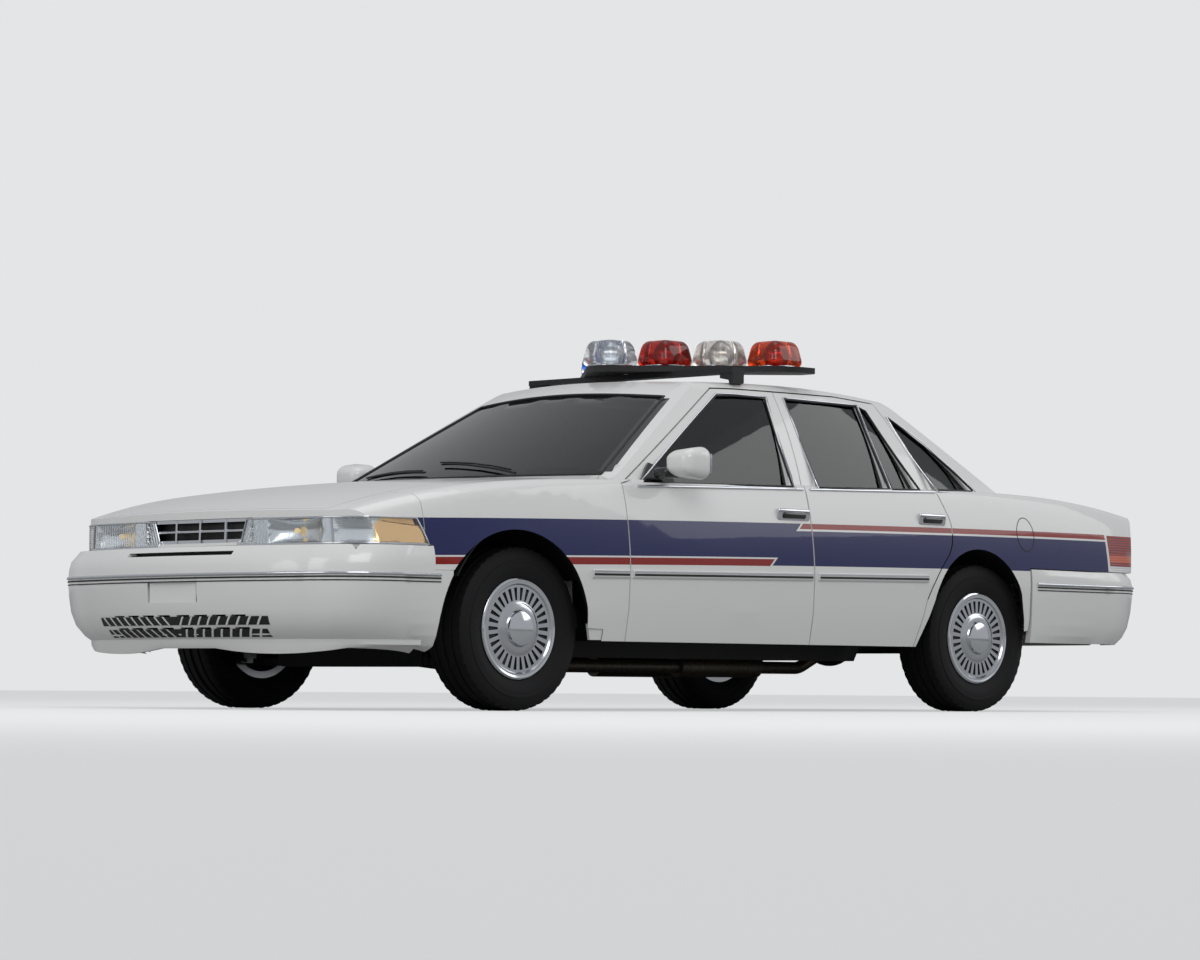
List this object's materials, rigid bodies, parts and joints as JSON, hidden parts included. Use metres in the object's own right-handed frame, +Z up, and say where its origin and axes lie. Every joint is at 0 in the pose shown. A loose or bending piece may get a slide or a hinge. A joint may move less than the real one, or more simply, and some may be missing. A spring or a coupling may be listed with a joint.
{
  "type": "police patrol car",
  "caption": "Full-size four-door police saloon with opening doors, bonnet and boot lid, steered wheels, hollow cabin, separate chassis and a V-shaped light bar.",
  "frame": {"origin": "on the ground, under the middle of the car's length and width", "axes": "+X towards the nose, +Y to the car's left, +Z up"},
  "size_m": [5.3848, 2.25, 1.6493],
  "materials": {
    "white_paint": "gloss",
    "tinted_glass": "gloss",
    "black_steel": "satin",
    "chrome_trim": "polished",
    "tyre": "matt",
    "wheel_steel": "polished",
    "lamp_lens_clear": "gloss",
    "lamp_lens_red": "gloss",
    "beacon_lens": "gloss",
    "black_plastic": "matt",
    "cabin_trim": "matt",
    "seat_cloth": "matt",
    "cast_iron": "rough",
    "aluminium": "satin",
    "exhaust_steel": "satin"
  },
  "bodies": {
    "body": {"chassis_frame": "black_steel", "cowl_firewall": "white_paint", "dashboard": "cabin_trim", "engine_block": "cast_iron", "exhaust_pipes": "exhaust_steel", "floor_pan": "black_steel", "front_bumper": "white_paint", "front_seats": "seat_cloth", "front_wings": "white_paint", "fuel_tank": "black_steel", "gearbox": "aluminium", "grille": "chrome_trim", "header_panel": "white_paint", "headlamps": "lamp_lens_clear", "light_bar_base": "black_plastic", "light_bar_lenses": "beacon_lens", "propeller_shaft": "black_steel", "quarter_glass": "tinted_glass", "radiator": "aluminium", "rear_axle": "black_steel", "rear_bumper": "white_paint", "rear_panel": "white_paint", "rear_seat": "seat_cloth", "rear_shelf": "cabin_trim", "rear_window": "tinted_glass", "roof_panel": "white_paint", "side_frame_left": "white_paint", "side_frame_right": "white_paint", "springs": "black_steel", "steering_column": "black_plastic", "suspension_arms": "black_steel", "tail_lamps": "lamp_lens_red", "wheel_well_liners": "black_plastic", "windscreen": "tinted_glass"},
    "front_door_left": {"front_door_left": "white_paint", "front_door_glass_left": "tinted_glass", "door_mirror_left": "white_paint"},
    "rear_door_left": {"rear_door_left": "white_paint", "rear_door_glass_left": "tinted_glass"},
    "knuckle_left": {"knuckle_left": "cast_iron"},
    "wheel_front_left": {"wheel_front_left": "wheel_steel", "tyre_front_left": "tyre"},
    "wheel_rear_left": {"wheel_rear_left": "wheel_steel", "tyre_rear_left": "tyre"},
    "front_door_right": {"front_door_right": "white_paint", "front_door_glass_right": "tinted_glass", "door_mirror_right": "white_paint"},
    "rear_door_right": {"rear_door_right": "white_paint", "rear_door_glass_right": "tinted_glass"},
    "knuckle_right": {"knuckle_right": "cast_iron"},
    "wheel_front_right": {"wheel_front_right": "wheel_steel", "tyre_front_right": "tyre"},
    "wheel_rear_right": {"wheel_rear_right": "wheel_steel", "tyre_rear_right": "tyre"},
    "bonnet": {"bonnet": "white_paint"},
    "boot_lid": {"boot_lid": "white_paint"},
    "steering_wheel": {"steering_wheel": "black_plastic"}
  },
  "joints": [
    {"name": "front_door_left_hinge", "type": "hinge", "parent": "body", "child": "front_door_left", "pos_m": [0.995, 0.975, 0.6], "axis": [0, 0, -1], "range_deg": [0, 65]},
    {"name": "rear_door_left_hinge", "type": "hinge", "parent": "body", "child": "rear_door_left", "pos_m": [-0.153, 0.975, 0.6], "axis": [0, 0, -1], "range_deg": [0, 65]},
    {"name": "steering_left", "type": "hinge", "parent": "body", "child": "knuckle_left", "pos_m": [1.6, 0.715, 0.335], "axis": [0, 0, 1], "range_deg": [-33, 33]},
    {"name": "wheel_front_left_spin", "type": "hinge", "parent": "knuckle_left", "child": "wheel_front_left", "pos_m": [1.6, 0.7975, 0.335], "axis": [0, 1, 0], "continuous": true},
    {"name": "wheel_rear_left_spin", "type": "hinge", "parent": "body", "child": "wheel_rear_left", "pos_m": [-1.306, 0.804, 0.335], "axis": [0, 1, 0], "continuous": true},
    {"name": "front_door_right_hinge", "type": "hinge", "parent": "body", "child": "front_door_right", "pos_m": [0.995, -0.975, 0.6], "axis": [0, 0, 1], "range_deg": [0, 65]},
    {"name": "rear_door_right_hinge", "type": "hinge", "parent": "body", "child": "rear_door_right", "pos_m": [-0.153, -0.975, 0.6], "axis": [0, 0, 1], "range_deg": [0, 65]},
    {"name": "steering_right", "type": "hinge", "parent": "body", "child": "knuckle_right", "pos_m": [1.6, -0.715, 0.335], "axis": [0, 0, 1], "range_deg": [-33, 33]},
    {"name": "wheel_front_right_spin", "type": "hinge", "parent": "knuckle_right", "child": "wheel_front_right", "pos_m": [1.6, -0.7975, 0.335], "axis": [0, 1, 0], "continuous": true},
    {"name": "wheel_rear_right_spin", "type": "hinge", "parent": "body", "child": "wheel_rear_right", "pos_m": [-1.306, -0.804, 0.335], "axis": [0, 1, 0], "continuous": true},
    {"name": "bonnet_hinge", "type": "hinge", "parent": "body", "child": "bonnet", "pos_m": [1.352, 0, 0.987], "axis": [0, -1, 0], "range_deg": [0, 55]},
    {"name": "boot_lid_hinge", "type": "hinge", "parent": "body", "child": "boot_lid", "pos_m": [-1.745, 0, 1.018], "axis": [0, 1, 0], "range_deg": [0, 70]},
    {"name": "steering_wheel_turn", "type": "hinge", "parent": "body", "child": "steering_wheel", "pos_m": [0.61, 0.37, 0.885], "axis": [-0.9136, 0, 0.4067], "range_deg": [-495, 495]}
  ],
  "couplings": [
    {"joint": "steering_right", "follows": "steering_left", "ratio": 1},
    {"joint": "steering_wheel_turn", "follows": "steering_left", "ratio": 15}
  ]
}
